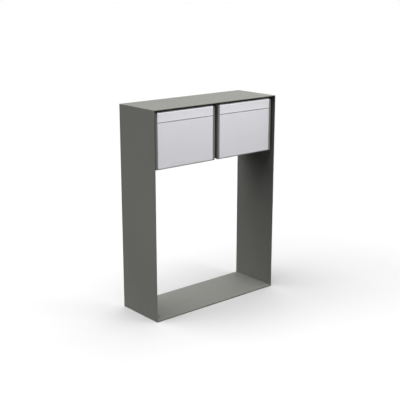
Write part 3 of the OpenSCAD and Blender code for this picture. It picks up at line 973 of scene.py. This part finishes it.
def tube(points, radius, steps=8):
    """A round wire along points."""
    bm = bmesh.new()
    rings = []
    across = Vector((0.31, 0.53, 0.79))
    for i, point in enumerate(points):
        ahead = (points[min(i + 1, len(points) - 1)] - points[max(i - 1, 0)]).normalized()
        across = (across - ahead * across.dot(ahead)).normalized()
        up = ahead.cross(across)
        ring = []
        for k in range(steps):
            a = 2 * math.pi * k / steps
            ring.append(bm.verts.new(point + radius * (across * math.cos(a) + up * math.sin(a))))
        rings.append(ring)
    for one, two in zip(rings, rings[1:]):
        for k in range(steps):
            j = (k + 1) % steps
            bm.faces.new((one[k], one[j], two[j], two[k]))
    bm.faces.new(rings[0][::-1])
    bm.faces.new(rings[-1])
    return bm


def flap_spring(side):
    """Torsion spring: a helix round the rod, one leg down the flap, one to the fascia."""
    low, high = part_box(side + "_flap_spring")
    _, y, z, rod_r = rod_axis(side)
    wire = 0.0006
    coil_r = rod_r + 0.0011
    leg_step = 0.001
    leg_angle = math.radians(35)
    x0 = low.x + wire
    x1 = high.x - wire
    down = Vector((x0, y - coil_r, low.z + wire))
    points = [down + Vector((0, 0, leg_step * i)) for i in range(int((z - down.z) / leg_step) + 1)]
    turns = 7.5
    per_turn = 24
    total = int(turns * per_turn)
    for i in range(total + 1):
        a = math.pi + 2 * math.pi * i / per_turn
        x = x0 + (x1 - x0) * i / total
        points.append(Vector((x, y + coil_r * math.cos(a), z + coil_r * math.sin(a))))
    leg = Vector((0, math.sin(leg_angle), -math.cos(leg_angle)))
    last = points[-1]
    leg_length = (high.y - wire - last.y) / leg.y
    points += [last + leg * (leg_length * i / 8) for i in range(1, 9)]
    piece(side + "_flap_spring", tube(points, wire))


def flap_bumpers(side):
    """Rubber buttons on the sill's lip with domed faces towards the flap."""
    node = side + "_flap_bumpers"
    crown = 0.0009
    steps = 5
    parts = []
    for low, high in solid_boxes(node):
        r = (high.z - low.z) / 2
        angles = [math.pi / 2 * i / steps for i in range(steps + 1)]
        dome = [(low.y + (1 - math.cos(a)) * crown, r * math.sin(a)) for a in angles]
        parts.append(turned(dome + [(high.y, r), (high.y, 0)], "y", centre_of(low, high, "xz"), 28))
    piece(node, merged(*parts))


def flap(side):
    """Extruded flap: flat front, rolled top edge, knuckles on the rod and a plate in each end."""
    node = side + "_flap"
    low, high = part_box(node)
    _, y, z, rod_r = rod_axis(side)
    bore = rod_r + RUNNING_FIT
    t = FLAP_SHEET
    r = y - low.y
    # The roll ends this many degrees behind its top.
    past_top = 26.7
    outline = [(low.y, low.z)]
    outline += arc((y, z), r, 180, 90 - past_top, 16)
    outline += arc((y, z), r - t, 90 - past_top, 180, 16)
    outline.append((low.y + t, low.z))
    parts = [soften(prism(outline, "x", low.x, high.x), 0.0004, 3)]

    # One knuckle at each end, one in the middle and one just before the spring.
    middle = (low.x + high.x) / 2
    spring_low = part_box(side + "_flap_spring")[0]
    knuckles = [(low.x, middle - 0.150), (middle - 0.050, middle + 0.050),
                (middle + 0.130, spring_low.x - 0.0014), (high.x - 0.004, high.x)]
    knuckle_r = 0.0048
    web_half_t = 0.001
    web_way = Vector((-1, 1)).normalized()
    across = Vector((web_way.y, -web_way.x)) * web_half_t
    near = Vector((y, z)) + web_way * 0.0040
    far = Vector((y, z)) + web_way * (r - t / 2)
    web_outline = [tuple(near + across), tuple(far + across), tuple(far - across), tuple(near - across)]
    for x0, x1 in knuckles:
        profile = [(x0, bore), (x0, knuckle_r), (x1, knuckle_r), (x1, bore)]
        ring = turned(profile, "x", (y, z), 32, closed=True)
        parts += [soften(ring, FINE_EDGE), prism(web_outline, "x", x0, x1)]
    # The end plates fill the roll down to this many degrees below the rod.
    dip = 28
    for x0, x1 in ((low.x + FINE_EDGE, low.x + t), (high.x - t, high.x - FINE_EDGE)):
        cap = prism(arc((y, z), r - FINE_EDGE, -dip, 180 + dip, 40), "x", x0, x1)
        parts.append(combine(cap, [drill(x0, x1, bore, "x", (y, z), past=t)]))
    piece(node, merged(*parts), "flap_aluminium")


# ---------------------------------------------------------------- door


def door_panel(side):
    """Folded tray with round bends, relieved corners on the hinge side and a hole for each hinge pin."""
    node = side + "_door_panel"
    low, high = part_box(node)
    t = BODY_SHEET
    outer = slab(low, high)
    bmesh.ops.recalc_face_normals(outer, faces=outer.faces)
    front_edges = [e for e in outer.edges if not all(abs(v.co.y - high.y) < 1e-6 for v in e.verts)]
    bmesh.ops.bevel(outer, geom=front_edges, offset=DOOR_BEND, offset_type="OFFSET", segments=5,
                    profile=0.5, affect="EDGES", clamp_overlap=True)
    inner = slab((low.x + t, low.y + t, low.z + t), (high.x - t, high.y + PAST, high.z - t))
    notch = 0.016
    cutters = [inner]
    for z0, z1 in ((low.z + t, low.z + t + notch), (high.z - t - notch, high.z - t)):
        cutters.append(slab((low.x - PAST, low.y + t, z0), (low.x + t + 0.001, high.y + PAST, z1)))
    cutters.append(pin_hole(side, low.z, high.z))
    piece(node, soften(combine(outer, cutters), 0.0002, 2, 60), "door_aluminium")


def door_keeper(side):
    """Bracket with its foot on the door and its lip turned up behind the cam."""
    node = side + "_door_keeper"
    low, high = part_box(node)
    t = BRACKET_SHEET
    foot_h = 0.016
    shelf_z = low.z + foot_h + t / 2
    path = [(low.y + t / 2, low.z), (low.y + t / 2, shelf_z),
            (high.y - t / 2, shelf_z), (high.y - t / 2, high.z)]
    piece(node, soften(prism(folded(path, t), "x", low.x, high.x), 0.0003))


def hinge_blocks(side):
    """Small blocks in the door's corners that hold the hinge pins."""
    node = side + "_hinge_blocks"
    parts = []
    for low, high in solid_boxes(node):
        block = combine(slab(low, high, 0.0015), [pin_hole(side, low.z, high.z)])
        parts.append(soften(block, 0.0004, 3))
    piece(node, merged(*parts))


def hinge_pins(side):
    """Plain pins that the door turns on."""
    node = side + "_hinge_pins"
    parts = []
    for low, high in solid_boxes(node):
        profile = rod_profile(low.z, high.z, (high.x - low.x) / 2, 0.0003)
        parts.append(turned(profile, "z", pin_axis(side), 28))
    piece(node, merged(*parts))


def door_hinge_washers():
    """Nylon washers that the doors stand on."""
    edge = 0.0003
    parts = []
    for low, high in solid_boxes("door_hinge_washers"):
        r = (high.x - low.x) / 2
        bore = pin_bore("left" if low.x < 0 else "right")
        profile = [(low.z, bore), (low.z, r - edge), (low.z + edge, r), (high.z - edge, r),
                   (high.z, r - edge), (high.z, bore)]
        parts.append(turned(profile, "z", centre_of(low, high, "xy"), 32, closed=True))
    piece("door_hinge_washers", merged(*parts))


# ---------------------------------------------------------------- cam lock


def lock_axis(side):
    """The place (x, z) of the lock."""
    low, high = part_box(side + "_lock_housing")
    return centre_of(low, high, "xz")


def lock_housing(side):
    """Flanged barrel with a rounded rim and a fine thread for its nut."""
    low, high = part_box(side + "_lock_housing")
    bore = 0.00555
    rim_t = 0.0025
    rim_r = (high.z - low.z) / 2
    barrel_r = rim_r - 0.002
    profile = [(low.y, bore), (low.y, rim_r - 0.0018), (low.y + 0.0005, rim_r - 0.0006),
               (low.y + 0.0014, rim_r), (low.y + rim_t, rim_r), (low.y + rim_t, barrel_r)]
    pitch = 0.001
    thread_depth = 0.0004
    unthreaded = 0.006
    for i in range(int((high.y - low.y - unthreaded) / pitch)):
        y = low.y + rim_t + 0.002 + i * pitch
        profile += [(y, barrel_r), (y + pitch / 2, barrel_r - thread_depth)]
    edge = 0.0005
    profile += [(high.y - edge, barrel_r), (high.y, barrel_r - edge), (high.y, bore)]
    piece(side + "_lock_housing", turned(profile, "y", lock_axis(side), 48, closed=True))


def lock_plug(side):
    """Turning core with its key slot."""
    low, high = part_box(side + "_lock_plug")
    x, z = lock_axis(side)
    r = (high.z - low.z) / 2
    edge = 0.0006
    profile = [(low.y, 0), (low.y, r - edge), (low.y + edge, r), (high.y, r), (high.y, 0)]
    half_w = 0.0006
    half_h = 0.0032
    depth = 0.006
    key_slot = slab((x - half_w, low.y - PAST, z - half_h), (x + half_w, low.y + depth, z + half_h))
    piece(side + "_lock_plug", combine(turned(profile, "y", (x, z), 40), [key_slot]))


def lock_cam(side):
    """Flat arm with two round ends."""
    low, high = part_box(side + "_lock_cam")
    x, z = lock_axis(side)
    half = (high.z - low.z) / 2
    outline = arc((x, z), half, 90, 270, 20) + arc((high.x - half, z), half, -90, 90, 20)
    piece(side + "_lock_cam", soften(prism(outline, "y", low.y, high.y), 0.0003, 2))


def cam_screw(side):
    """Slotted screw that holds the cam on the plug."""
    low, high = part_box(side + "_cam_screw")
    x, z = lock_axis(side)
    shank_r = 0.002
    head_h = 0.0025
    head_r = (high.z - low.z) / 2
    profile = [(low.y, 0), (low.y, shank_r), (high.y - head_h, shank_r), (high.y - head_h, head_r),
               (high.y - 0.0008, head_r), (high.y - 0.0003, head_r - 0.0006),
               (high.y, head_r - 0.0016), (high.y, 0)]
    half_w = 0.0005
    depth = 0.001
    drive = slab((x - half_w, high.y - depth, z - PAST), (x + half_w, high.y + PAST, z + PAST))
    piece(side + "_cam_screw", combine(turned(profile, "y", (x, z), 32), [drive]))


def lock_nuts():
    """Wide thin nuts that hold the locks in the fascias."""
    parts = []
    for low, high in solid_boxes("lock_nuts"):
        x, z = centre_of(low, high, "xz")
        nut = turn_to(hex_nut(LOCK_NUT_R, LOCK_HOLE_R, high.y - low.y), (0, 1, 0))
        parts.append(moved(nut, (x, low.y, z)))
    piece("lock_nuts", merged(*parts))


# ---------------------------------------------------------------- everything


add_camera()
add_stage()
frame_pieces()
hanger_rails()
hanger_screws()
m6_nuts()
cross_screws()
spacers()
body_rivets()
flap_rod_bushes()
door_hinge_washers()
lock_nuts()
for side in SIDES:
    body_wrap(side)
    plate_piece(side + "_body_top")
    plate_piece(side + "_body_back", 0.0004, 0.003, "y")
    cheek(side, "hinge", -1)
    cheek(side, "latch", 1)
    slot_fascia(side)
    letter_guard(side)
    plate_piece(side + "_door_stop")
    door_seal(side)
    threshold(side)
    flap_rod(side)
    flap_spring(side)
    flap_bumpers(side)
    flap(side)
    door_panel(side)
    door_keeper(side)
    hinge_blocks(side)
    hinge_pins(side)
    lock_housing(side)
    lock_plug(side)
    lock_cam(side)
    cam_screw(side)
